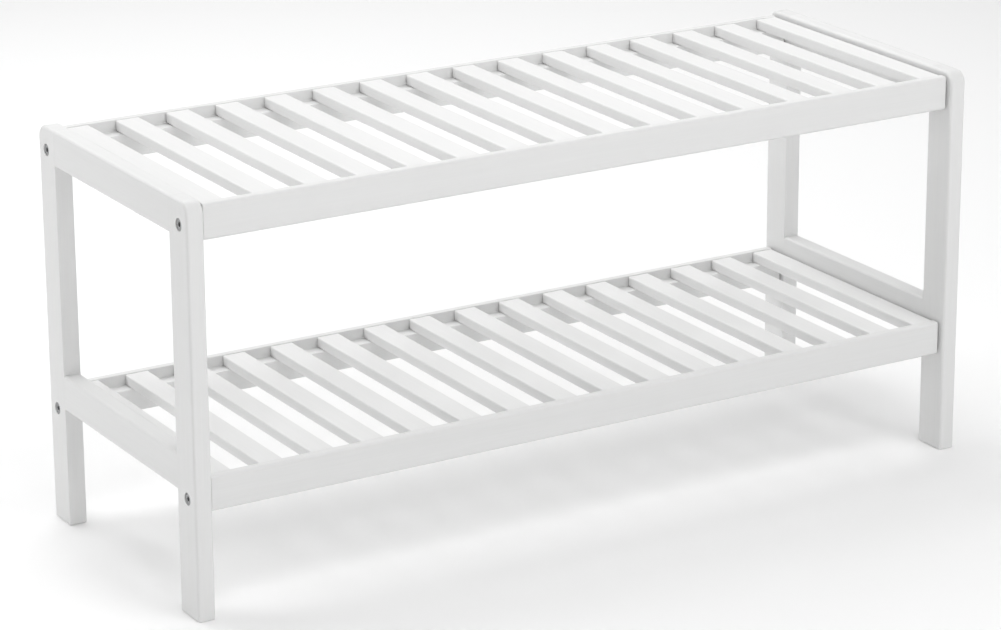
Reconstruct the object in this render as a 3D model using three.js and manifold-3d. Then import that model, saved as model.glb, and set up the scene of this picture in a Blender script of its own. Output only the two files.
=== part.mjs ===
// A two-tier slatted entryway bench in painted solid wood: a seat and a shoe shelf between two end frames.
// Millimetres, +Z up, +X along the length, the open front faces -Y. The origin is on the floor, at the
// middle of the footprint.
import * as THREE from "three";
import { mergeVertices } from "three/addons/utils/BufferGeometryUtils.js";
import Module from "manifold-3d";

const wasm = await Module();
wasm.setup();

// Overall size.
const LENGTH = 988;
const DEPTH = 360;
const HEIGHT = 457;
const GAP = 0.3; // between pieces that touch

// Stock of the end frames.
const LEG_X = 20;
const LEG_Y = 40;
const END_RAIL_H = 40;
const LOWER_END_RAIL_TOP = 177;
const CORNER_R = 14; // the rounded top corners of an end frame
const EDGE_R = 3;
const SOFT_R = 1;
const FOOT_CHAMFER = 1.5;

// Tenons on the end rails, and their mortises in the legs.
const TENON_T = 10;
const TENON_H = 30;
const TENON_L = 15;

// Rabbeted long rails.
const RAIL_H = 39;
const RAIL_T = 28;
const LIP_T = 10;
const RAIL_SETBACK = 7; // behind the legs' outer faces
const RAIL_END_GAP = 2.5; // to the legs
const SEAT_RAIL_TOP = 452;
const SHELF_RAIL_TOP = 157;

// Slats.
const SLAT_COUNT = 16;
const SLAT_W = 28;
const SLAT_T = 12;
const SLAT_DROP = 0.5; // below the rails' tops
const SLAT_END_GAP = 1;
const SLAT_SIDE_GAP = 3.4; // first and last slat to the end rails
const SLAT_R = 1.2;

// Furniture screws with a hex socket, sunk in the legs.
const HEAD_D = 13;
const HEAD_T = 4;
const HEAD_SUNK = 1;
const SHANK_D = 6.3;
const SHANK_L = 50;
const TIP_L = 4;
const SOCKET_AF = 5;
const SOCKET_DEEP = 2.6;
const HOLE_SLACK = 0.6; // on a diameter
const TIP_SLACK = 1; // beyond a screw's tip
const SCREW_INSET = 18.5; // from the legs' outer faces
const SEAT_SCREW_Z = 431;
const SHELF_SCREW_Z = 133;
const ROUND_SIDES = 24;

// How the shapes are drawn.
const SMALL_ARC_STEPS = 3;
const LARGE_ARC_STEPS = 8;
const PAST = 1; // how far a cut reaches past the face that it opens
const WELD = 1e-4;
const SHARP = [0, 0, 0, 0];

const INNER_X = LENGTH / 2 - LEG_X;
const RAIL_L = 2 * (INNER_X - RAIL_END_GAP);

const paint = new THREE.MeshStandardMaterial({ color: "#eeeeec", roughness: 0.45, metalness: 0 });
paint.name = "painted_wood";
const steel = new THREE.MeshStandardMaterial({ color: "#6e7073", roughness: 0.4, metalness: 0.9 });
steel.name = "screw_steel";

/** A closed polygon of a rectangle [x0, x1] by [y0, y1] with one radius for each corner, from the low one. */
function roundedRect(x0, x1, y0, y1, radii) {
  const corners = [[x0, y0, 1, 1], [x1, y0, -1, 1], [x1, y1, -1, -1], [x0, y1, 1, -1]];
  const points = [];
  corners.forEach(([x, y, sx, sy], k) => {
    const r = radii[k];
    if (r === 0) {
      points.push(new THREE.Vector2(x, y));
      return;
    }
    const steps = r > EDGE_R ? LARGE_ARC_STEPS : SMALL_ARC_STEPS;
    for (let i = 0; i <= steps; i++) {
      const a = Math.PI + (k * Math.PI) / 2 + (i / steps) * (Math.PI / 2);
      points.push(new THREE.Vector2(x + sx * r + r * Math.cos(a), y + sy * r + r * Math.sin(a)));
    }
  });
  return points;
}

/** A solid of a polygon drawn in (x, y) and swept along z from z0 to z1. */
function prism(points, z0, z1) {
  const geometry = new THREE.ExtrudeGeometry(new THREE.Shape(points), { depth: z1 - z0, bevelEnabled: false });
  return geometry.translate(0, 0, z0);
}

/** The same sweep along X: the polygon's (x, y) become the part's (Y, Z). */
function prismX(points, x0, x1) {
  const geometry = prism(points, x0, x1);
  return geometry.applyMatrix4(new THREE.Matrix4().set(0, 0, 1, 0, 1, 0, 0, 0, 0, 1, 0, 0, 0, 0, 0, 1));
}

/** The same sweep along Y: the polygon's (x, y) become the part's (X, Z). */
function prismY(points, y0, y1) {
  const geometry = prism(points, -y1, -y0);
  return geometry.rotateX(Math.PI / 2);
}

/** A rod along +X that starts at (x, y, z). */
function rodX(diameter, length, x, y, z) {
  const profile = [[0, 0], [diameter / 2, 0], [diameter / 2, length], [0, length]];
  return latheX(profile).translate(x, y, z);
}

/** A lathe turned about +X. The profile is a list of [radius, distance]. */
function latheX(profile) {
  const points = profile.map(([r, d]) => new THREE.Vector2(r, d));
  return new THREE.LatheGeometry(points, ROUND_SIDES).rotateZ(-Math.PI / 2);
}

function toManifold(geometry) {
  const bare = geometry.clone();
  bare.deleteAttribute("normal");
  bare.deleteAttribute("uv");
  const merged = mergeVertices(bare, WELD);
  const mesh = new wasm.Mesh({
    numProp: 3,
    vertProperties: new Float32Array(merged.attributes.position.array),
    triVerts: new Uint32Array(merged.index.array),
  });
  mesh.merge();
  return new wasm.Manifold(mesh);
}

function toGeometry(solid) {
  const mesh = solid.getMesh();
  const geometry = new THREE.BufferGeometry();
  geometry.setAttribute("position", new THREE.BufferAttribute(new Float32Array(mesh.vertProperties), 3));
  geometry.setIndex(new THREE.BufferAttribute(new Uint32Array(mesh.triVerts), 1));
  geometry.computeVertexNormals();
  return geometry;
}

/** The screw heights that a leg is drilled for. */
const SCREW_HEIGHTS = { upper: SEAT_SCREW_Z, lower: SHELF_SCREW_Z };

/** The front left leg, where it stands, as a solid: mortised for the two end rails, and drilled for screws. */
function frontLeftLeg() {
  const [x0, x1] = [-LENGTH / 2, -INNER_X];
  const [y0, y1] = [-DEPTH / 2, -DEPTH / 2 + LEG_Y];
  const post = toManifold(prism(roundedRect(x0, x1, y0, y1, [EDGE_R, EDGE_R, SOFT_R, SOFT_R]), 0, HEIGHT));
  const side = roundedRect(y0, y1, 0, HEIGHT, [FOOT_CHAMFER, FOOT_CHAMFER, 0, CORNER_R]);
  let leg = post.intersect(toManifold(prismX(side, x0 - PAST, x1 + PAST)));
  const midX = (x0 + x1) / 2;
  for (const top of [HEIGHT, LOWER_END_RAIL_TOP]) {
    const z = top - END_RAIL_H / 2;
    const [halfT, halfH] = [TENON_T / 2 + GAP, TENON_H / 2 + GAP];
    const mouth = roundedRect(midX - halfT, midX + halfT, z - halfH, z + halfH, SHARP);
    leg = leg.subtract(toManifold(prismY(mouth, y1 - TENON_L - GAP, y1 + PAST)));
  }
  const screwY = y0 + SCREW_INSET;
  for (const z of Object.values(SCREW_HEIGHTS)) {
    const sunk = HEAD_SUNK + HEAD_T + GAP;
    const seat = rodX(HEAD_D + HOLE_SLACK, sunk + PAST, x0 - PAST, screwY, z);
    const bore = rodX(SHANK_D + HOLE_SLACK, LEG_X + 2 * PAST, x0 - PAST, screwY, z);
    leg = leg.subtract(toManifold(seat)).subtract(toManifold(bore));
  }
  return leg;
}

/** A left-hand end rail with its two tenons. */
function leftEndRail(top) {
  const [x0, x1] = [-LENGTH / 2, -INNER_X];
  const reach = DEPTH / 2 - LEG_Y - GAP;
  const [z0, z1] = [top - END_RAIL_H, top];
  const body = prismY(roundedRect(x0, x1, z0, z1, [EDGE_R, EDGE_R, EDGE_R, EDGE_R]), -reach, reach);
  const [midX, midZ] = [(x0 + x1) / 2, (z0 + z1) / 2];
  const [halfT, halfH] = [TENON_T / 2, TENON_H / 2];
  const tenon = roundedRect(midX - halfT, midX + halfT, midZ - halfH, midZ + halfH, SHARP);
  const tongue = reach + TENON_L;
  return toManifold(body).add(toManifold(prismY(tenon, -tongue, tongue)));
}

/** A front long rail: a lip in front, a ledge behind it that the slats lie on, and a hole in each end. */
function frontLongRail(top, screwZ) {
  const y0 = -DEPTH / 2 + RAIL_SETBACK;
  const z0 = top - RAIL_H;
  const ledgeZ = top - SLAT_DROP - SLAT_T - GAP;
  const outline = roundedRect(y0, y0 + RAIL_T, z0, top, [EDGE_R, SOFT_R, 0, EDGE_R]);
  let rail = toManifold(prismX(outline, -RAIL_L / 2, RAIL_L / 2));
  const rabbet = roundedRect(y0 + LIP_T, y0 + RAIL_T + PAST, ledgeZ, top + PAST, SHARP);
  rail = rail.subtract(toManifold(prismX(rabbet, -RAIL_L / 2 - PAST, RAIL_L / 2 + PAST)));
  const deep = SHANK_L - LEG_X + HEAD_SUNK + HEAD_T - RAIL_END_GAP + TIP_SLACK;
  for (const x of [-RAIL_L / 2 - PAST, RAIL_L / 2 - deep]) {
    const hole = rodX(SHANK_D + HOLE_SLACK, deep + PAST, x, -DEPTH / 2 + SCREW_INSET, screwZ);
    rail = rail.subtract(toManifold(hole));
  }
  return rail;
}

/** One slat, running front to back, about its own middle. */
function slat() {
  const reach = DEPTH / 2 - RAIL_SETBACK - LIP_T - SLAT_END_GAP;
  const radii = [SLAT_R, SLAT_R, SLAT_R, SLAT_R];
  return toManifold(prismY(roundedRect(-SLAT_W / 2, SLAT_W / 2, -SLAT_T, 0, radii), -reach, reach));
}

/** A left-hand screw, with its head's outer face at the origin and its shank along +X. */
function leftScrew() {
  const profile = [
    [0, 0], [HEAD_D / 2 - SOFT_R, 0], [HEAD_D / 2, SOFT_R], [HEAD_D / 2, HEAD_T], [SHANK_D / 2, HEAD_T],
    [SHANK_D / 2, HEAD_T + SHANK_L - TIP_L], [SHANK_D / 4, HEAD_T + SHANK_L], [0, HEAD_T + SHANK_L],
  ];
  const hex = Array.from({ length: 6 }, (_, i) => {
    const a = (i * Math.PI) / 3;
    const r = SOCKET_AF / Math.sqrt(3);
    return new THREE.Vector2(r * Math.cos(a), r * Math.sin(a));
  });
  return toManifold(latheX(profile)).subtract(toManifold(prismX(hex, -PAST, SOCKET_DEEP)));
}

const bench = new THREE.Group();
bench.name = "entryway_bench";

function addMesh(group, name, solid, material) {
  const mesh = new THREE.Mesh(toGeometry(solid), material);
  mesh.name = name;
  group.add(mesh);
  return mesh;
}

const ACROSS_X = [1, 0, 0];
const ACROSS_Y = [0, 1, 0];

/** An end frame with its screws. sign is -1 on the left and 1 on the right. */
function addEndFrame(side, sign) {
  const frame = new THREE.Group();
  frame.name = `${side}_end_frame`;
  const onSide = (solid) => (sign < 0 ? solid : solid.mirror(ACROSS_X));
  const leg = onSide(frontLeftLeg());
  addMesh(frame, `${side}_front_leg`, leg, paint);
  addMesh(frame, `${side}_rear_leg`, leg.mirror(ACROSS_Y), paint);
  addMesh(frame, `${side}_top_end_rail`, onSide(leftEndRail(HEIGHT)), paint);
  addMesh(frame, `${side}_lower_end_rail`, onSide(leftEndRail(LOWER_END_RAIL_TOP)), paint);
  const screw = onSide(leftScrew());
  for (const [level, z] of Object.entries(SCREW_HEIGHTS)) {
    for (const [place, end] of [["front", -1], ["rear", 1]]) {
      const mesh = addMesh(frame, `${side}_${place}_${level}_screw`, screw, steel);
      mesh.position.set(sign * (LENGTH / 2 - HEAD_SUNK), end * (DEPTH / 2 - SCREW_INSET), z);
    }
  }
  bench.add(frame);
}

/** A front and a rear long rail, and the slats between them. */
function addDeck(name, railTop, screwZ) {
  const deck = new THREE.Group();
  deck.name = `${name}_deck`;
  const rail = frontLongRail(railTop, screwZ);
  addMesh(deck, `front_${name}_rail`, rail, paint);
  addMesh(deck, `rear_${name}_rail`, rail.mirror(ACROSS_Y), paint);
  const board = slat();
  const first = -INNER_X + SLAT_SIDE_GAP + SLAT_W / 2;
  const pitch = (-2 * first) / (SLAT_COUNT - 1);
  for (let i = 0; i < SLAT_COUNT; i++) {
    const number = String(i + 1).padStart(2, "0");
    const mesh = addMesh(deck, `${name}_slat_${number}`, board, paint);
    mesh.position.set(first + i * pitch, 0, railTop - SLAT_DROP);
  }
  bench.add(deck);
}

addEndFrame("left", -1);
addEndFrame("right", 1);
addDeck("seat", SEAT_RAIL_TOP, SEAT_SCREW_Z);
addDeck("shelf", SHELF_RAIL_TOP, SHELF_SCREW_Z);

export default bench;
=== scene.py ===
"""Dresses a two-tier slatted entryway bench in white satin paint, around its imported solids."""

from __future__ import annotations

import logging
import math
import random
from dataclasses import dataclass
from enum import Enum
from typing import Any, Sequence, Union

import bmesh
import bpy
from mathutils import Matrix, Vector


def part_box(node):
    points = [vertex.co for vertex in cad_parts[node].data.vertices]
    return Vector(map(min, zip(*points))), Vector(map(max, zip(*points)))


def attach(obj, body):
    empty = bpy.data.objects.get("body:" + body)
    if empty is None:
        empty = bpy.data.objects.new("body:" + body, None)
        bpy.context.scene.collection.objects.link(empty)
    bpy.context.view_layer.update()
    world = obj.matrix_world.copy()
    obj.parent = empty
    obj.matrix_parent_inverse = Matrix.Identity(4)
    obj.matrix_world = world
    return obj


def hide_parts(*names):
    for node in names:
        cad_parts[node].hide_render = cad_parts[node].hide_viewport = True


LOG = logging.getLogger("bench")
MM = 0.001
BODY = "root"
SEED = 20
TONE = "tone"
TIMBER_CREASE = 36.0
STEEL_CREASE = 40.0
WHITE = (1.0, 1.0, 1.0, 1.0)
BLACK = (0.0, 0.0, 0.0, 1.0)

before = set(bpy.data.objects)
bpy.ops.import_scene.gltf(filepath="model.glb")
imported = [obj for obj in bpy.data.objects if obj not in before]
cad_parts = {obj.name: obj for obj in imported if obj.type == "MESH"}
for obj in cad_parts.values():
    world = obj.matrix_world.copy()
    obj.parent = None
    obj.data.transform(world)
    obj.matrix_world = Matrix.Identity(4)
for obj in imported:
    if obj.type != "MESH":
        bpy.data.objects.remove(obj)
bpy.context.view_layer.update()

Point2 = tuple[float, float]
Point3 = tuple[float, float, float]
Box = tuple[Vector, Vector]
Ring = list[bmesh.types.BMVert]


class Axis(Enum):
    """A row axis, as the index of its coordinate."""

    X = 0
    Y = 1
    Z = 2


class Side(Enum):
    """Which end frame, as the sign of its X."""

    LEFT = -1
    RIGHT = 1


class Place(Enum):
    """Front or rear, as the sign of its Y."""

    FRONT = -1
    REAR = 1


class Tier(Enum):
    """The seat or the shelf, as the words for its screws and for its end rails."""

    SEAT = ("upper", "top")
    SHELF = ("lower", "lower")

    @property
    def deck(self) -> str:
        """The word for its rails and slats."""
        return self.name.lower()

    @property
    def screw(self) -> str:
        """The word for its screws."""
        return self.value[0]

    @property
    def end_rail(self) -> str:
        """The word for its end rails."""
        return self.value[1]


def corner_name(side: Side, place: Place) -> str:
    """Names a corner of the bench, such as left_front."""
    return f"{side.name.lower()}_{place.name.lower()}"


def node_box(name: str) -> Box:
    """Gives a solid's lowest and highest corners.

    Args:
        name: the solid's node name.

    Returns:
        The two corners, in metres.
    """
    low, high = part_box(name)
    return Vector(low), Vector(high)


def outer_x(side: Side, box: Box) -> float:
    """Gives the X of a solid's outward side.

    Args:
        side: the end frame that the solid is in.
        box: the solid's corners.

    Returns:
        The coordinate.
    """
    return box[0].x if side is Side.LEFT else box[1].x


# -----------------------------------------------------------------------------------------------------
# Node trees


Operand = Union["Wire", float]


@dataclass(frozen=True)
class Wire:
    """A number that flows from a socket, and does its arithmetic in Math nodes."""

    canvas: "Canvas"
    socket: bpy.types.NodeSocket

    def math(self, operation: str, *others: Operand) -> "Wire":
        """Runs one Math operation, with this wire as its first operand.

        Args:
            operation: the Math node's operation.
            *others: its other operands.

        Returns:
            The result.
        """
        inputs = dict(enumerate((self, *others)))
        return self.canvas.node("ShaderNodeMath", {"operation": operation}, inputs)[0]

    def __add__(self, other: Operand) -> "Wire":
        """Adds."""
        return self.math("ADD", other)

    __radd__ = __add__

    def __sub__(self, other: Operand) -> "Wire":
        """Subtracts."""
        return self.math("SUBTRACT", other)

    def __rsub__(self, other: float) -> "Wire":
        """Subtracts this wire from a number."""
        return -self + other

    def __mul__(self, other: Operand) -> "Wire":
        """Multiplies."""
        return self.math("MULTIPLY", other)

    __rmul__ = __mul__

    def __neg__(self) -> "Wire":
        """Turns the sign."""
        return self * -1.0

    def centred(self) -> "Wire":
        """Moves a value that runs from 0 to 1 so that its middle is 0."""
        return self - 0.5

    def ramp(self, span: Point2) -> "Wire":
        """Maps a span to 0 to 1, smoothly and clamped.

        Args:
            span: the value that becomes 0, and the value that becomes 1.

        Returns:
            The mapped value.
        """
        inputs = {"Value": self, "From Min": span[0], "From Max": span[1]}
        return self.canvas.node("ShaderNodeMapRange", {"interpolation_type": "SMOOTHSTEP"}, inputs)[0]


def pick(outputs: Sequence[Wire], name: str) -> Wire:
    """Picks a node's output by name: the first, where several share it."""
    return next(wire for wire in outputs if wire.socket.name == name)


class Canvas:
    """Adds nodes to a tree, and wires them."""

    def __init__(self, tree: bpy.types.NodeTree) -> None:
        """Empties the tree.

        Args:
            tree: the tree to work on.
        """
        self.tree = tree
        tree.nodes.clear()

    def node(self, kind: str, settings: dict[str, Any] | None = None,
             inputs: dict[Union[int, str], Any] | None = None) -> list[Wire]:
        """Adds one node.

        Args:
            kind: the node's type.
            settings: its properties, set first.
            inputs: values or wires, by the socket's index or name.

        Returns:
            A wire for each output.
        """
        made = self.tree.nodes.new(kind)
        for key, value in (settings or {}).items():
            setattr(made, key, value)
        for key, value in (inputs or {}).items():
            socket = made.inputs[key]
            if isinstance(value, Wire):
                self.tree.links.new(value.socket, socket)
            else:
                socket.default_value = value
        return [Wire(self, out) for out in made.outputs]

    def place(self) -> Wire:
        """Reads object coordinates."""
        return pick(self.node("ShaderNodeTexCoord"), "Object")

    def facing(self) -> list[Wire]:
        """Reads how far the surface faces along X, Y and Z, each from 0 to 1."""
        normal = pick(self.node("ShaderNodeNewGeometry"), "Normal")
        return self.split(self.vector("ABSOLUTE", normal))

    def split(self, vector: Wire) -> list[Wire]:
        """Takes a vector apart, into its three numbers."""
        return self.node("ShaderNodeSeparateXYZ", {}, {0: vector})

    def triple(self, x: Operand = 0.0, y: Operand = 0.0, z: Operand = 0.0) -> Wire:
        """Makes a vector of three numbers."""
        return self.node("ShaderNodeCombineXYZ", {}, {0: x, 1: y, 2: z})[0]

    def vector(self, operation: str, *operands: Any) -> Wire:
        """Runs one Vector Math operation.

        Args:
            operation: the node's operation.
            *operands: wires or triples.

        Returns:
            Its vector, or its number for LENGTH.
        """
        out = self.node("ShaderNodeVectorMath", {"operation": operation}, dict(enumerate(operands)))
        return pick(out, "Value" if operation == "LENGTH" else "Vector")

    def blend(self, amount: Operand, first: Any, second: Any) -> Wire:
        """Mixes two colours.

        Args:
            amount: how much of the second.
            first: a colour or a wire.
            second: a colour or a wire.

        Returns:
            The mixed colour.
        """
        factor, colour_a, colour_b, result = 0, 6, 7, 2
        settings = {"data_type": "RGBA", "clamp_result": True}
        inputs = {factor: amount, colour_a: first, colour_b: second}
        return self.node("ShaderNodeMix", settings, inputs)[result]

    def noise(self, where: Wire, scale: float, detail: float = 2.0, roughness: float = 0.5,
              spread: float = 0.0) -> Wire:
        """Adds a Noise Texture.

        Args:
            where: the coordinates.
            scale: cells in a metre.
            detail: octaves.
            roughness: the octaves' falloff.
            spread: the distortion.

        Returns:
            The noise, from 0 to 1.
        """
        inputs = {"Vector": where, "Scale": scale, "Detail": detail, "Roughness": roughness,
                  "Distortion": spread}
        return self.node("ShaderNodeTexNoise", {"noise_dimensions": "3D"}, inputs)[0]

    def bump(self, height: Wire, strength: float) -> Wire:
        """Turns a height into a normal.

        Args:
            height: the height, in metres.
            strength: how much of it shows.

        Returns:
            The normal.
        """
        inputs = {"Strength": strength, "Distance": 1.0, "Height": height}
        return self.node("ShaderNodeBump", {}, inputs)[0]


def arris_mask(facing: Sequence[Wire], span: Point2) -> Wire:
    """Finds rounded edges, where a surface faces squarely along no axis.

    Args:
        facing: how far it faces along each axis.
        span: how far from square the mask starts, and where it is full.

    Returns:
        The mask, from 0 to 1.
    """
    squarest = facing[0].math("MAXIMUM", facing[1]).math("MAXIMUM", facing[2])
    return (1.0 - squarest).ramp(span)


# -----------------------------------------------------------------------------------------------------
# Finishes


@dataclass(frozen=True)
class Finish:
    """A material in the making. Each finish says what its shader's sockets get."""

    name: str

    def surface(self, canvas: Canvas) -> dict[str, Any]:
        """Gives the values and wires of the shader's sockets.

        Args:
            canvas: the material's tree.

        Returns:
            Values or wires, by the socket's name.
        """
        raise NotImplementedError

    def build(self) -> bpy.types.Material:
        """Makes the material.

        Returns:
            The material.
        """
        material = bpy.data.materials.new(self.name)
        material.use_nodes = True
        canvas = Canvas(material.node_tree)
        shader = canvas.node("ShaderNodeBsdfPrincipled", {}, self.surface(canvas))[0]
        canvas.node("ShaderNodeOutputMaterial", {}, {0: shader})
        return material


@dataclass(frozen=True)
class Figure:
    """A pattern along the grain: its cells' size, its noise, and what it does to the paint."""

    width: float
    run: float
    detail: float
    falloff: float
    spread: float
    depth: float
    tint: float


@dataclass(frozen=True)
class SatinPaint(Finish):
    """White satin paint over planed softwood, whose grain telegraphs through along one axis."""

    grain: Axis
    colour: Point3 = (0.768, 0.769, 0.766)
    thin_colour: Point3 = (0.72, 0.705, 0.67)
    fibre: Figure = Figure(1.3 * MM, 55 * MM, 3.0, 0.55, 0.0, 0.08 * MM, 0.052)
    rings: Figure = Figure(9 * MM, 330 * MM, 2.0, 0.5, 0.6, 0.15 * MM, 0.042)
    tone_shift: Point3 = (3.1, 5.7, 4.3)
    cloud_scale: float = 9.0
    peel_scale: float = 420.0
    arris: Point2 = (0.02, 0.26)
    end_grain: Point2 = (0.85, 0.97)
    worn: Point2 = (0.62, 0.92)
    worn_cloud: float = 0.6
    worn_fibre: float = 0.8
    worn_show: float = 0.22
    piece_tint: float = 0.014
    cloud_tint: float = 0.012
    end_grain_tint: float = 0.03
    roughness: float = 0.50
    fibre_roughness: float = 0.10
    cloud_roughness: float = 0.12
    end_grain_roughness: float = 0.12
    worn_roughness: float = 0.08
    peel_depth: float = 0.012 * MM
    end_grain_depth: float = 0.06 * MM
    bump_strength: float = 0.9

    def _figure(self, canvas: Canvas, where: Wire, figure: Figure) -> Wire:
        """Draws one pattern along the grain.

        Args:
            canvas: the material's tree.
            where: the coordinates.
            figure: the pattern.

        Returns:
            The pattern, from 0 to 1.
        """
        cells = [1 / figure.width] * 3
        cells[self.grain.value] = 1 / figure.run
        stretched = canvas.vector("MULTIPLY", where, cells)
        return canvas.noise(stretched, 1.0, figure.detail, figure.falloff, figure.spread)

    def surface(self, canvas: Canvas) -> dict[str, Any]:
        """Gives the values and wires of the shader's sockets.

        Args:
            canvas: the material's tree.

        Returns:
            Values or wires, by the socket's name.
        """
        tone = pick(canvas.node("ShaderNodeAttribute", {"attribute_name": TONE}), "Fac")
        shift = canvas.vector("MULTIPLY", canvas.triple(tone, tone, tone), self.tone_shift)
        where = canvas.vector("ADD", canvas.place(), shift)
        fibre = self._figure(canvas, where, self.fibre)
        rings = self._figure(canvas, where, self.rings)
        cloud = canvas.noise(where, self.cloud_scale)
        peel = canvas.noise(where, self.peel_scale, 1.0)

        facing = canvas.facing()
        end_grain = facing[self.grain.value].ramp(self.end_grain)
        thin_spots = (cloud * self.worn_cloud + fibre * self.worn_fibre).ramp(self.worn)
        worn = arris_mask(facing, self.arris) * thin_spots

        level = (fibre.centred() * self.fibre.tint + rings.centred() * self.rings.tint
                 + tone.centred() * self.piece_tint + cloud.centred() * self.cloud_tint
                 + 1.0 - end_grain * self.end_grain_tint)
        base = canvas.vector("MULTIPLY", self.colour, canvas.triple(level, level, level))
        rough = (fibre.centred() * self.fibre_roughness + cloud.centred() * self.cloud_roughness
                 + self.roughness + end_grain * self.end_grain_roughness
                 + worn * self.worn_roughness)
        height = (fibre.centred() * self.fibre.depth + rings.centred() * self.rings.depth
                  + peel.centred() * self.peel_depth
                  + end_grain * peel.centred() * self.end_grain_depth)
        return {
            "Base Color": canvas.blend(worn * self.worn_show, base, (*self.thin_colour, 1.0)),
            "Roughness": rough, "Metallic": 0.0, "Normal": canvas.bump(height, self.bump_strength),
            "Coat Weight": 0.06, "Coat Roughness": 0.35, "IOR": 1.46,
        }


@dataclass(frozen=True)
class PlatedSteel(Finish):
    """Dull zinc-plated steel, turned, with a rubbed rim."""

    colour: Point3 = (0.30, 0.305, 0.31)
    bright: Point3 = (0.55, 0.555, 0.56)
    speck_scale: float = 1400.0
    cloud_scale: float = 260.0
    rim: Point2 = (0.04, 0.24)
    speck: Point2 = (0.55, 0.8)
    rim_show: float = 0.35
    speck_show: float = 0.25
    roughness: float = 0.38
    cloud_roughness: float = 0.25
    speck_depth: float = 0.02 * MM
    bump_strength: float = 0.8

    def surface(self, canvas: Canvas) -> dict[str, Any]:
        """Gives the values and wires of the shader's sockets.

        Args:
            canvas: the material's tree.

        Returns:
            Values or wires, by the socket's name.
        """
        where = canvas.place()
        speck = canvas.noise(where, self.speck_scale, 3.0, 0.6)
        cloud = canvas.noise(where, self.cloud_scale)
        rim = arris_mask(canvas.facing(), self.rim)
        rubbed = rim * self.rim_show + speck.ramp(self.speck) * self.speck_show
        return {
            "Base Color": canvas.blend(rubbed, (*self.colour, 1.0), (*self.bright, 1.0)),
            "Roughness": cloud.centred() * self.cloud_roughness + self.roughness, "Metallic": 0.85,
            "Normal": canvas.bump(speck.centred() * self.speck_depth, self.bump_strength),
        }


@dataclass(frozen=True)
class StudioFloor(Finish):
    """A plain, pale, matt floor, which is lit from within far from the bench, as a backdrop is."""

    colour: Point3 = (0.96, 0.96, 0.96)
    glow_span: Point2 = (2.2, 9.0)
    glow: float = 0.57

    def surface(self, canvas: Canvas) -> dict[str, Any]:
        """Gives the values and wires of the shader's sockets.

        Args:
            canvas: the material's tree.

        Returns:
            Values or wires, by the socket's name.
        """
        far = canvas.vector("LENGTH", canvas.place()).ramp(self.glow_span)
        return {
            "Base Color": (*self.colour, 1.0), "Roughness": 0.85, "Specular IOR Level": 0.1,
            "Emission Color": canvas.blend(far, BLACK, WHITE), "Emission Strength": self.glow,
        }


# -----------------------------------------------------------------------------------------------------
# Meshes


SUPPORT = 0.35 * MM
ARC_STEPS = 5
MIN_RADIUS = 0.05 * MM
WIDE_RADIUS = 6 * MM


@dataclass(frozen=True)
class Corner:
    """A corner of an outline, in metres, and its rounding."""

    u: float
    v: float
    radius: float


@dataclass(frozen=True)
class Outline:
    """A closed outline whose corners are rounded. shares[i] says how far the edge that leaves corner i
    draws in when the outline does: 1 follows, 0 stays."""

    corners: tuple[Corner, ...]
    shares: tuple[float, ...]

    def ring(self, inset: float) -> list[Point2]:
        """Draws the outline.

        Args:
            inset: how far it is drawn in, in metres.

        Returns:
            Its points: a flat one, an arc and a flat one for each corner, always the same number.
        """
        afters = self.corners[1:] + self.corners[:1]
        turn = sum(at.u * after.v - after.u * at.v for at, after in zip(self.corners, afters))
        inward = 1.0 if turn > 0 else -1.0
        lines = []
        for at, after, share in zip(self.corners, afters, self.shares):
            along = Vector((after.u - at.u, after.v - at.v)).normalized()
            normal = Vector((-along.y, along.x)) * inward
            lines.append((Vector((at.u, at.v)) + normal * inset * share, along))
        points: list[Point2] = []
        for i, corner in enumerate(self.corners):
            (p, d), (q, e) = lines[i - 1], lines[i]
            t = ((q.x - p.x) * e.y - (q.y - p.y) * e.x) / (d.x * e.y - d.y * e.x)
            shrink = inset * min(self.shares[i - 1], self.shares[i])
            points += self._fillet(p + d * t, -d, e, corner.radius, shrink)
        return points

    @staticmethod
    def _fillet(at: Vector, back: Vector, ahead: Vector, radius: float, shrink: float) -> list[Point2]:
        """Rounds one corner.

        Args:
            at: the sharp corner.
            back: the direction to the corner before.
            ahead: the direction to the corner after.
            radius: the rounding of the outline that isn't drawn in.
            shrink: how much smaller it is here.

        Returns:
            The points.
        """
        r = max(radius - shrink, MIN_RADIUS)
        half = back.angle(ahead) / 2
        start, end = at + back * (r / math.tan(half)), at + ahead * (r / math.tan(half))
        centre = at + (back + ahead).normalized() * (r / math.sin(half))
        steps = ARC_STEPS * (2 if radius > WIDE_RADIUS else 1)
        first, last = start - centre, end - centre
        sweep = first.angle_signed(last)
        points = [start + back * SUPPORT]
        for k in range(steps + 1):
            a = -sweep * k / steps
            turned = Vector((first.x * math.cos(a) - first.y * math.sin(a),
                             first.x * math.sin(a) + first.y * math.cos(a)))
            points.append(centre + turned)
        points.append(end + ahead * SUPPORT)
        return [(p.x, p.y) for p in points]


def rectangle(low: Point2, high: Point2, radii: Sequence[float],
              shares: Sequence[float] = (1.0,) * 4) -> Outline:
    """Makes a rectangular outline.

    Args:
        low: the low corner.
        high: the high corner.
        radii: the corners' roundings, round from the low corner by way of high u.
        shares: the shares of the edges at low v, high u, high v and low u.

    Returns:
        The outline.
    """
    places = [(low[0], low[1]), (high[0], low[1]), (high[0], high[1]), (low[0], high[1])]
    return Outline(tuple(Corner(u, v, r) for (u, v), r in zip(places, radii)), tuple(shares))


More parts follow.
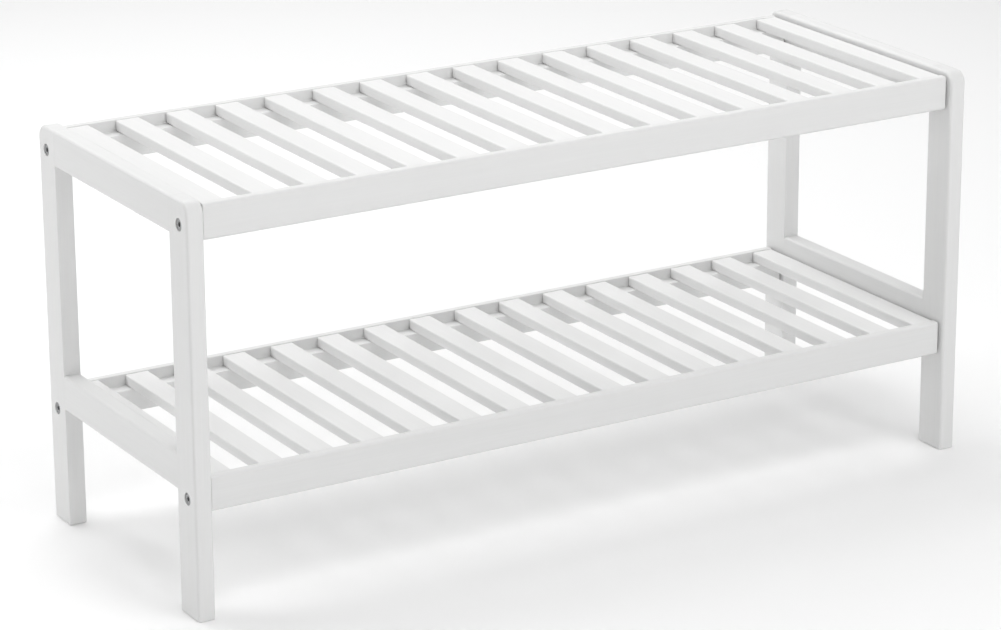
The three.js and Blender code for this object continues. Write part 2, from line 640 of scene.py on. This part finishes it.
def round_ring(mesh: bmesh.types.BMesh, x: float, centre: Point2, radii: Sequence[float]) -> Ring:
    """Adds a ring of points about an axis along X.

    Args:
        mesh: the mesh.
        x: the ring's place on the axis.
        centre: the axis, in (y, z).
        radii: each point's distance from the axis.

    Returns:
        The ring.
    """
    ring = []
    for k, radius in enumerate(radii):
        a = math.tau * k / len(radii)
        place = (x, centre[0] + radius * math.cos(a), centre[1] + radius * math.sin(a))
        ring.append(mesh.verts.new(place))
    return ring


def join_rings(mesh: bmesh.types.BMesh, rings: Sequence[Ring], capped: bool = True) -> None:
    """Joins rings of points with faces, each to the next.

    Args:
        mesh: the mesh.
        rings: the rings, of as many points each.
        capped: whether a flat face closes each end.
    """
    for near, far in zip(rings, rings[1:]):
        for i in range(len(near)):
            j = (i + 1) % len(near)
            mesh.faces.new((near[i], near[j], far[j], far[i]))
    if capped:
        mesh.faces.new(rings[0])
        mesh.faces.new(rings[-1])


def add_object(name: str, data: Any) -> bpy.types.Object:
    """Puts a mesh, a light or a camera in the scene.

    Args:
        name: the object's name.
        data: what it shows.

    Returns:
        The object.
    """
    made = bpy.data.objects.new(name, data)
    bpy.context.scene.collection.objects.link(made)
    return made


def finish_mesh(mesh: bmesh.types.BMesh, name: str, crease: float = TIMBER_CREASE) -> bpy.types.Object:
    """Turns a mesh under construction into an object.

    Args:
        mesh: the mesh, which is used up.
        name: the object's name.
        crease: edges sharper than this, in degrees, stay hard.

    Returns:
        The object, linked to the scene.
    """
    bmesh.ops.recalc_face_normals(mesh, faces=mesh.faces)
    data = bpy.data.meshes.new(name)
    mesh.to_mesh(data)
    mesh.free()
    data.polygons.foreach_set("use_smooth", [True] * len(data.polygons))
    data.set_sharp_from_angle(angle=math.radians(crease))
    return add_object(name, data)


def baked(source: bpy.types.Object, name: str, crease: float = TIMBER_CREASE) -> bpy.types.Object:
    """Turns an object with live modifiers into a plain mesh object, and removes it.

    Args:
        source: the object.
        name: the new object's name.
        crease: edges sharper than this, in degrees, stay hard.

    Returns:
        The plain object.
    """
    graph = bpy.context.evaluated_depsgraph_get()
    data = bpy.data.meshes.new_from_object(source.evaluated_get(graph), preserve_all_data_layers=True,
                                           depsgraph=graph)
    data.name = name
    data.set_sharp_from_angle(angle=math.radians(crease))
    bpy.data.objects.remove(source, do_unlink=True)
    return add_object(name, data)


@dataclass(frozen=True)
class Bar:
    """An outline swept along an axis, with rounded ends."""

    outline: Outline
    axis: Axis
    low: float
    high: float
    ease: float

    def _stations(self) -> list[tuple[float, float]]:
        """Lists where the outline is drawn.

        Returns:
            (distance along the axis, inset) pairs, from the low end to the high end.
        """
        arc = []
        for k in range(ARC_STEPS + 1):
            a = math.pi / 2 * k / ARC_STEPS
            arc.append((self.ease * (1 - math.sin(a)), self.ease * (1 - math.cos(a))))
        near = [(0.0, self.ease + SUPPORT), *reversed(arc), (self.ease + SUPPORT, 0.0)]
        return [(self.low + d, i) for d, i in near] + [(self.high - d, i) for d, i in reversed(near)]

    def _place(self, point: Point2, along: float) -> Point3:
        """Turns an outline point into a place.

        Args:
            point: (u, v), the two other coordinates in X, Y, Z order.
            along: the coordinate on the bar's axis.

        Returns:
            The place.
        """
        u, v = point
        return {Axis.X: (along, u, v), Axis.Y: (u, along, v), Axis.Z: (u, v, along)}[self.axis]

    def build(self, name: str) -> bpy.types.Object:
        """Makes the bar.

        Args:
            name: its object's name.

        Returns:
            The bar.
        """
        mesh = bmesh.new()
        rings = []
        for along, inset in self._stations():
            rings.append([mesh.verts.new(self._place(p, along)) for p in self.outline.ring(inset)])
        join_rings(mesh, rings)
        return finish_mesh(mesh, name)


def declare(piece: bpy.types.Object, nodes: Sequence[str]) -> None:
    """Attaches a piece to the bench's body, hides the solids that it stands for, and logs it.

    Args:
        piece: the piece.
        nodes: the solids that it stands for.
    """
    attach(piece, BODY)
    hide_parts(*nodes)
    LOG.info("%s: %d faces, for %d solids", piece.name, len(piece.data.polygons), len(nodes))


def paint(piece: bpy.types.Object, material: bpy.types.Material, tone: float, node: str) -> None:
    """Args:
        piece: the piece.
        material: its paint.
        tone: its own tone, from 0 to 1.
        node: the solid that it stands for.
    """
    layer = piece.data.attributes.new(TONE, "FLOAT", "POINT")
    layer.data.foreach_set("value", [tone] * len(piece.data.vertices))
    piece.data.materials.clear()
    piece.data.materials.append(material)
    declare(piece, [node])


# -----------------------------------------------------------------------------------------------------
# Geometry Nodes trees for what repeats


@dataclass(frozen=True)
class TreeInput:
    """A named input of a Geometry Nodes tree."""

    name: str
    kind: str
    value: Any


class Draw(Enum):
    """A kind of random value, as its node's sockets: the least, the most and the result."""

    FLOAT = (2, 3, 1)
    FLOAT_VECTOR = (0, 1, 0)


class RepeatTree:
    """A Geometry Nodes tree that sets copies of a template on points."""

    def __init__(self, name: str, template: bpy.types.Object, material: bpy.types.Material, seed: int,
                 sizes: Sequence[TreeInput] = ()) -> None:
        """Makes the tree's interface.

        Args:
            name: the tree's name.
            template: what is copied.
            material: the copies' finish.
            seed: for the differences between them.
            sizes: the tree's other inputs.
        """
        self.tree = bpy.data.node_groups.new(name, "GeometryNodeTree")
        self.inputs = (
            TreeInput("Template", "NodeSocketObject", template), *sizes,
            TreeInput("Seed", "NodeSocketInt", seed),
            TreeInput("Material", "NodeSocketMaterial", material),
        )
        self.identifiers: dict[str, str] = {}
        self.draws = 0
        face = self.tree.interface
        face.new_socket("Geometry", in_out="INPUT", socket_type="NodeSocketGeometry")
        face.new_socket("Geometry", in_out="OUTPUT", socket_type="NodeSocketGeometry")
        for item in self.inputs:
            socket = face.new_socket(item.name, in_out="INPUT", socket_type=item.kind)
            self.identifiers[item.name] = socket.identifier
        self.canvas = Canvas(self.tree)
        outs = self.canvas.node("NodeGroupInput")
        self.given = {wire.socket.name: wire for wire in outs}

    def random(self, kind: Draw, low: Any, high: Any) -> Wire:
        """Draws a random value for each point. Each call has its own draws.

        Args:
            kind: a number or a vector.
            low: the least value.
            high: the most.

        Returns:
            The random value.
        """
        self.draws += 1
        least, most, result = kind.value
        index = self.canvas.node("GeometryNodeInputIndex")[0]
        inputs = {least: low, most: high, "ID": index, "Seed": self.given["Seed"] + float(self.draws)}
        return self.canvas.node("FunctionNodeRandomValue", {"data_type": kind.name}, inputs)[result]

    def fill(self, points: Wire, rotation: Wire) -> None:
        """Ends the tree: copies the template, stores each copy's tone, and realizes the copies.

        Args:
            points: where they go.
            rotation: how each is turned.
        """
        canvas, given = self.canvas, self.given
        info = canvas.node("GeometryNodeObjectInfo", {"transform_space": "ORIGINAL"},
                           {"Object": given["Template"]})
        copies = canvas.node("GeometryNodeInstanceOnPoints", {}, {
            "Points": points, "Instance": pick(info, "Geometry"), "Rotation": rotation,
        })[0]
        tone = self.random(Draw.FLOAT, 0.0, 1.0)
        toned = canvas.node("GeometryNodeStoreNamedAttribute",
                            {"data_type": "FLOAT", "domain": "INSTANCE"},
                            {"Geometry": copies, "Name": TONE, "Value": tone})[0]
        real = canvas.node("GeometryNodeRealizeInstances", {}, {0: toned})[0]
        dressed = canvas.node("GeometryNodeSetMaterial", {},
                              {"Geometry": real, "Material": given["Material"]})[0]
        canvas.node("NodeGroupOutput", {}, {0: dressed})

    def apply(self, points: bpy.types.Object) -> None:
        """Puts the tree on an object as a modifier, with the inputs' values.

        Args:
            points: the object.
        """
        modifier = points.modifiers.new(self.tree.name, "NODES")
        modifier.node_group = self.tree
        for item in self.inputs:
            modifier[self.identifiers[item.name]] = item.value


# -----------------------------------------------------------------------------------------------------
# The bench


@dataclass(frozen=True)
class ScrewShape:
    """A furniture screw with a low round head, a hex socket and a thread towards its tip."""

    head_radius: float = 6.5 * MM
    head_deep: float = 4 * MM
    rim: float = 0.9 * MM
    rim_steps: int = 4
    socket_reach: float = 2.9 * MM
    socket_flare: float = 0.35 * MM
    socket_deep: float = 2.6 * MM
    socket_floor: tuple[Point2, ...] = ((1.0, 0.30), (0.86, 0.96), (0.70, 1.0))
    face_margin: float = 0.4 * MM
    under_edge: float = 0.3 * MM
    neck: float = 0.4 * MM
    shank_radius: float = 3.15 * MM
    length: float = 54 * MM
    plain: float = 12 * MM
    plain_and_tip: float = 16 * MM
    thread_pitch: float = 2.6 * MM
    thread_deep: float = 0.55 * MM
    thread: tuple[Point2, ...] = ((0.15, 0.0), (0.5, 0.0), (0.62, 1.0), (0.98, 1.0))
    tip: tuple[Point2, ...] = ((3 * MM, 0.8), (0.4 * MM, 0.3))
    steps: int = 48

    def _hexagon(self, angle: float) -> float:
        """Gives the socket's reach in one direction."""
        sector = math.tau / 6
        return self.socket_reach * math.cos(sector / 2) / math.cos((angle % sector) - sector / 2)

    def _stations(self) -> list[Point3]:
        """Lists the rings from the socket's floor, out over the head and down to the tip.

        Returns:
            For each, its distance along +X, its radius, and how much of the hexagon that adds to it.
        """
        r, s, flare, deep = self.head_radius, self.shank_radius, self.socket_flare, self.head_deep
        rings = [(self.socket_deep * depth, 0.0, share) for depth, share in self.socket_floor]
        rings += [(flare, 0.0, 1.0), (0.0, flare, 1.0), (0.0, r - self.rim - self.face_margin, 0.0)]
        for k in range(self.rim_steps + 1):
            t = math.pi / 2 * k / self.rim_steps
            rings.append((self.rim * (1 - math.cos(t)), r - self.rim * (1 - math.sin(t)), 0.0))
        rings += [(deep - self.under_edge, r, 0.0), (deep, r - self.under_edge, 0.0),
                  (deep, s + self.neck, 0.0), (deep + self.neck, s, 0.0), (deep + self.plain, s, 0.0)]
        for k in range(int((self.length - deep - self.plain_and_tip) / self.thread_pitch)):
            x = deep + self.plain + k * self.thread_pitch
            rings += [(x + share * self.thread_pitch, s - cut * self.thread_deep, 0.0)
                      for share, cut in self.thread]
        return rings + [(self.length - short, s * share, 0.0) for short, share in self.tip]

    def build(self) -> bpy.types.Object:
        """Makes the screw, its head's outer face at the origin and its shank along +X.

        Returns:
            The screw.
        """
        mesh = bmesh.new()
        hexagon = [self._hexagon(math.tau * k / self.steps) for k in range(self.steps)]
        rings = [round_ring(mesh, x, (0.0, 0.0), [radius + share * reach for reach in hexagon])
                 for x, radius, share in self._stations()]
        join_rings(mesh, rings, capped=False)
        for ring, x in ((rings[0], self.socket_deep), (rings[-1], self.length)):
            pole = mesh.verts.new((x, 0.0, 0.0))
            for i in range(self.steps):
                mesh.faces.new((ring[i], ring[(i + 1) % self.steps], pole))
        return finish_mesh(mesh, "screw_template", STEEL_CREASE)


@dataclass(frozen=True)
class ScrewSet:
    """The screws that hold the long rails to the legs."""

    material: bpy.types.Material
    seed: int

    def _tree(self, template: bpy.types.Object) -> RepeatTree:
        """Builds the tree that drives a screw at every point, from outside the bench.

        Args:
            template: one screw.

        Returns:
            The tree.
        """
        tree = RepeatTree("leg_screws", template, self.material, self.seed)
        canvas = tree.canvas
        x = canvas.split(canvas.node("GeometryNodeInputPosition")[0])[0]
        about = x.math("GREATER_THAN", 0.0) * math.pi
        spin = tree.random(Draw.FLOAT, 0.0, math.tau)
        tree.fill(tree.given["Geometry"], canvas.triple(spin, 0.0, about))
        return tree

    def build(self) -> None:
        """Builds all the screws as one piece."""
        names, places = [], []
        for side in Side:
            for place in Place:
                for tier in Tier:
                    name = f"{corner_name(side, place)}_{tier.screw}_screw"
                    box = node_box(name)
                    middle = (box[0] + box[1]) / 2
                    places.append((outer_x(side, box), middle.y, middle.z))
                    names.append(name)
        data = bpy.data.meshes.new("screw_points")
        data.from_pydata(places, [], [])
        points = add_object("screw_points", data)
        template = ScrewShape().build()
        self._tree(template).apply(points)
        piece = baked(points, "leg_screws", STEEL_CREASE)
        bpy.data.objects.remove(template, do_unlink=True)
        declare(piece, names)


@dataclass(frozen=True)
class EndFrame:
    """Two legs and the two end rails between them."""

    side: Side
    upright: bpy.types.Material
    crosswise: bpy.types.Material
    tones: random.Random
    edge: float = 3 * MM
    under_edge: float = 2 * MM
    inner_arris: float = 0.15 * MM
    top_corner: float = 14 * MM
    foot_edge: float = 1.2 * MM
    joint_share: float = 0.05
    foot_share: float = 0.4
    rail_arris: float = 0.12 * MM
    seam: float = 0.02 * MM
    bore_slack: float = 0.3 * MM
    bore_past: float = 2 * MM
    mouth: float = 0.45 * MM
    bore_steps: int = 48

    def _leg_outline(self, low: Vector, high: Vector, place: Place) -> Outline:
        """Draws a leg from the side.

        Args:
            low: the solid's low corner.
            high: its high corner.
            place: front or rear, which says where the outer corner is.

        Returns:
            The outline, in (y, z).
        """
        foot, inner, top = self.foot_edge, self.inner_arris, self.top_corner
        if place is Place.FRONT:
            radii, shares = (foot, foot, inner, top), (self.foot_share, self.joint_share, 1.0, 1.0)
        else:
            radii, shares = (foot, foot, top, inner), (self.foot_share, 1.0, 1.0, self.joint_share)
        return rectangle((low.y, low.z), (high.y, high.z), radii, shares)

    def _bore_cutter(self, leg: Box, screw: Box) -> bpy.types.Object:
        """Makes the shape that bores a leg for a screw: a hole with a sunk seat and an eased mouth.

        Args:
            leg: the leg's corners.
            screw: the screw's corners.

        Returns:
            The cutter.
        """
        low, high = screw
        face = outer_x(self.side, leg)
        head = (high.z - low.z) / 2 + self.bore_slack
        shank = ScrewShape.shank_radius + self.bore_slack
        sunk = ScrewShape.head_deep + abs(face - outer_x(self.side, screw)) + self.bore_slack
        through = leg[1].x - leg[0].x + self.bore_past
        profile = [(-self.bore_past, head + self.mouth), (0.0, head + self.mouth), (self.mouth, head),
                   (sunk, head), (sunk, shank), (through, shank)]
        centre = ((low.y + high.y) / 2, (low.z + high.z) / 2)
        mesh = bmesh.new()
        rings = [round_ring(mesh, face - self.side.value * depth, centre, [radius] * self.bore_steps)
                 for depth, radius in profile]
        join_rings(mesh, rings)
        return finish_mesh(mesh, "bore_cutter")

    def _leg(self, place: Place) -> None:
        """Builds one leg, bored for its two screws.

        Args:
            place: front or rear.
        """
        corner = corner_name(self.side, place)
        low, high = node_box(f"{corner}_leg")
        outline = self._leg_outline(low, high, place)
        post = Bar(outline, Axis.X, low.x, high.x, self.edge).build(f"{corner}_post")
        screws = [node_box(f"{corner}_{tier.screw}_screw") for tier in Tier]
        cutters = [self._bore_cutter((low, high), screw) for screw in screws]
        for cutter in cutters:
            cut = post.modifiers.new("bore", "BOOLEAN")
            cut.operation, cut.solver, cut.object = "DIFFERENCE", "EXACT", cutter
        piece = baked(post, f"painted_{corner}_leg")
        for cutter in cutters:
            bpy.data.objects.remove(cutter, do_unlink=True)
        paint(piece, self.upright, self.tones.random(), f"{corner}_leg")

    def _rail(self, tier: Tier) -> None:
        """Builds one end rail.

        Args:
            tier: the seat's or the shelf's.
        """
        name = f"{self.side.name.lower()}_{tier.end_rail}_end_rail"
        low, high = node_box(name)
        front, rear = (node_box(f"{corner_name(self.side, place)}_leg") for place in Place)
        radii = (self.under_edge, self.under_edge, self.edge, self.edge)
        outline = rectangle((low.x, low.z), (high.x, high.z), radii)
        bar = Bar(outline, Axis.Y, front[1].y + self.seam, rear[0].y - self.seam, self.rail_arris)
        paint(bar.build(f"painted_{name}"), self.crosswise, self.tones.random(), name)

    def build(self) -> None:
        """Builds the end frame."""
        for place in Place:
            self._leg(place)
        for tier in Tier:
            self._rail(tier)


@dataclass(frozen=True)
class Deck:
    """A front and a rear long rail, and the slats on their ledges."""

    tier: Tier
    lengthwise: bpy.types.Material
    # the slats' paint, painted lighter than the frame's same paint: painted light standing in for the
    # brighter light on their tops
    slat_paint: bpy.types.Material
    tones: random.Random
    seed: int
    slats: int = 16
    front_edge: float = 3 * MM
    lip_edge: float = 1.0 * MM
    back_edge: float = 1.2 * MM
    inner_edge: float = 0.4 * MM
    end_arris: float = 0.7 * MM
    slat_edge: float = 1.6 * MM
    slat_end: float = 0.5 * MM
    slat_slack: float = 0.10 * MM
    slat_skew: float = math.radians(0.05)
    ledge_gap: float = 0.3 * MM
    lip_gap: float = 1.0 * MM

    def _slat_node(self, number: int) -> str:
        """Names a slat's solid."""
        return f"{self.tier.deck}_slat_{number:02d}"

    def _rail(self, place: Place) -> None:
        """Builds a long rail: a lip, and a ledge behind it.

        Args:
            place: front or rear.
        """
        node = f"{place.name.lower()}_{self.tier.deck}_rail"
        low, high = node_box(node)
        slat_low, slat_high = node_box(self._slat_node(1))
        ledge = slat_low.z - self.ledge_gap
        if place is Place.FRONT:
            outer, back, lip = low.y, high.y, slat_low.y - self.lip_gap
        else:
            outer, back, lip = high.y, low.y, slat_high.y + self.lip_gap
        corners = (
            Corner(outer, low.z, self.front_edge), Corner(back, low.z, self.back_edge),
            Corner(back, ledge, self.back_edge), Corner(lip, ledge, self.inner_edge),
            Corner(lip, high.z, self.lip_edge), Corner(outer, high.z, self.front_edge),
        )
        bar = Bar(Outline(corners, (1.0,) * len(corners)), Axis.X, low.x, high.x, self.end_arris)
        paint(bar.build(f"painted_{node}"), self.lengthwise, self.tones.random(), node)

    def _slat_template(self, size: Vector) -> bpy.types.Object:
        """Makes one slat, about the middle of its top face.

        Args:
            size: its size.

        Returns:
            The slat.
        """
        outline = rectangle((-size.x / 2, -size.z), (size.x / 2, 0.0), (self.slat_edge,) * 4)
        return Bar(outline, Axis.Y, -size.y / 2, size.y / 2, self.slat_end).build("slat_template")

    def _tree(self, template: bpy.types.Object, first: Vector, pitch: float) -> RepeatTree:
        """Builds the tree that lays a row of slats.

        Args:
            template: one slat.
            first: the middle of the first slat's top face.
            pitch: the distance between slats.

        Returns:
            The tree.
        """
        tree = RepeatTree("slat_row", template, self.slat_paint, self.seed, (
            TreeInput("Count", "NodeSocketInt", self.slats),
            TreeInput("First Slat", "NodeSocketVector", first),
            TreeInput("Pitch", "NodeSocketFloat", pitch),
            TreeInput("Slack", "NodeSocketFloat", self.slat_slack),
            TreeInput("Skew", "NodeSocketFloat", self.slat_skew),
        ))
        canvas, given = tree.canvas, tree.given
        line = canvas.node("GeometryNodeMeshLine", {"mode": "OFFSET"}, {
            "Count": given["Count"], "Start Location": given["First Slat"],
            "Offset": canvas.triple(given["Pitch"]),
        })[0]
        slack, skew = given["Slack"], given["Skew"]
        nudge = tree.random(Draw.FLOAT_VECTOR, canvas.triple(-slack, -slack, -slack),
                            canvas.triple(slack, slack))
        turn = tree.random(Draw.FLOAT, -skew, skew)
        moved = canvas.node("GeometryNodeSetPosition", {}, {"Geometry": line, "Offset": nudge})[0]
        tree.fill(moved, canvas.triple(z=turn))
        return tree

    def _slats(self) -> None:
        """Lays the row of slats."""
        low, high = node_box(self._slat_node(1))
        last, _ = node_box(self._slat_node(self.slats))
        pitch = (last.x - low.x) / (self.slats - 1)
        first = Vector(((low.x + high.x) / 2, (low.y + high.y) / 2, high.z))
        template = self._slat_template(high - low)
        points = add_object("slat_points", bpy.data.meshes.new("slat_points"))
        self._tree(template, first, pitch).apply(points)
        piece = baked(points, f"{self.tier.deck}_slats")
        bpy.data.objects.remove(template, do_unlink=True)
        declare(piece, [self._slat_node(i + 1) for i in range(self.slats)])

    def build(self) -> None:
        """Builds the deck."""
        for place in Place:
            self._rail(place)
        self._slats()


# -----------------------------------------------------------------------------------------------------
# The studio


@dataclass(frozen=True)
class SoftBox:
    """A square area light."""

    name: str
    place: Point3
    side: float
    power: float
    aim: Point3 = (0.0, 0.0, 0.2)

    def build(self) -> None:
        """Hangs the light."""
        data = bpy.data.lights.new(self.name, "AREA")
        data.shape, data.size, data.energy = "SQUARE", self.side, self.power
        lamp = add_object(self.name, data)
        lamp.location = self.place
        lamp.rotation_euler = (Vector(self.aim) - Vector(self.place)).to_track_quat("-Z", "Y").to_euler()


@dataclass(frozen=True)
class Studio:
    """The floor, the lights and the camera."""

    floor_reach: float = 30.0
    floor_cells: int = 8
    sky: float = 0.25
    horizon: float = 0.72
    horizon_span: Point2 = (0.06, 0.22)
    lights: tuple[SoftBox, ...] = (
        SoftBox("high_front", (0.2, -2.3, 2.9), 2.4, 52.0),
        SoftBox("high_back", (-0.3, 1.9, 2.9), 2.4, 56.0, (0.0, 0.3, 0.1)),
        SoftBox("high_left", (-2.3, -2.2, 2.5), 2.2, 12.0),
        SoftBox("high_right", (2.5, -2.0, 2.4), 2.2, 15.0),
        SoftBox("near_back_left", (-1.9, 1.1, 1.3), 1.2, 12.0, (0.0, 0.0, 0.25)),
        SoftBox("back_right", (2.0, 2.0, 2.2), 2.0, 15.0),
    )
    eye: Point3 = (-2.03596, -3.36993, 1.52766)
    yaw: float = -30.926
    pitch: float = -17.613
    roll: float = -0.298
    lens: float = 131.81
    sensor: float = 36.0
    rise: float = -0.0649
    nearest: float = 0.05
    farthest: float = 200.0

    def _floor(self) -> None:
        """Lays the floor."""
        mesh = bmesh.new()
        bmesh.ops.create_grid(mesh, x_segments=self.floor_cells, y_segments=self.floor_cells,
                              size=self.floor_reach)
        data = bpy.data.meshes.new("studio_floor")
        mesh.to_mesh(data)
        mesh.free()
        data.materials.append(StudioFloor("studio_floor").build())
        add_object("studio_floor", data)

    def _world(self) -> None:
        """Fills the room with even light, brighter low down, as a backdrop is."""
        world = bpy.data.worlds.new("studio")
        world.use_nodes = True
        canvas = Canvas(world.node_tree)
        toward = pick(canvas.node("ShaderNodeTexCoord"), "Generated")
        low_down = 1.0 - canvas.split(toward)[Axis.Z.value].ramp(self.horizon_span)
        strength = low_down * (self.horizon - self.sky) + self.sky
        light = canvas.node("ShaderNodeBackground", {}, {"Color": WHITE, "Strength": strength})[0]
        canvas.node("ShaderNodeOutputWorld", {}, {0: light})
        bpy.context.scene.world = world

    def _camera(self) -> None:
        """Sets up the camera."""
        data = bpy.data.cameras.new("camera")
        data.sensor_width, data.lens, data.shift_y = self.sensor, self.lens, self.rise
        data.clip_start, data.clip_end = self.nearest, self.farthest
        yaw, pitch, roll = (math.radians(a) for a in (self.yaw, self.pitch, self.roll))
        level = Vector((math.cos(yaw), math.sin(yaw), 0.0))
        reach = math.cos(pitch)
        ahead = Vector((-math.sin(yaw) * reach, math.cos(yaw) * reach, math.sin(pitch)))
        over = level.cross(ahead)
        right = level * math.cos(roll) + over * math.sin(roll)
        up = over * math.cos(roll) - level * math.sin(roll)
        turn = Matrix((right, up, -ahead)).transposed().to_4x4()
        camera = add_object("camera", data)
        camera.matrix_world = Matrix.Translation(self.eye) @ turn
        bpy.context.scene.camera = camera

    def build(self) -> None:
        """Sets up the studio."""
        self._floor()
        self._world()
        self._camera()
        for light in self.lights:
            light.build()
        bpy.context.scene.view_settings.view_transform = "Standard"


def main() -> None:
    """Builds the bench and its studio."""
    logging.basicConfig(level=logging.INFO, format="%(name)s: %(message)s")
    tones = random.Random(SEED)
    upright = SatinPaint("white_paint_upright", Axis.Z).build()
    lengthwise = SatinPaint("white_paint_lengthwise", Axis.X).build()
    crosswise = SatinPaint("white_paint_crosswise", Axis.Y).build()
    # The slats get a lighter white than the frame's same paint: painted light, standing in for the
    # brighter light on their tops.
    slat_paint = SatinPaint("white_paint_slats", Axis.Y, colour=(0.80, 0.80, 0.797)).build()
    steel = PlatedSteel("plated_steel").build()
    for side in Side:
        EndFrame(side, upright, crosswise, tones).build()
    Deck(Tier.SEAT, lengthwise, slat_paint, tones, SEED + 1).build()
    Deck(Tier.SHELF, lengthwise, slat_paint, tones, SEED + 2).build()
    ScrewSet(steel, SEED + 3).build()
    Studio().build()


if __name__ == "__main__":
    main()
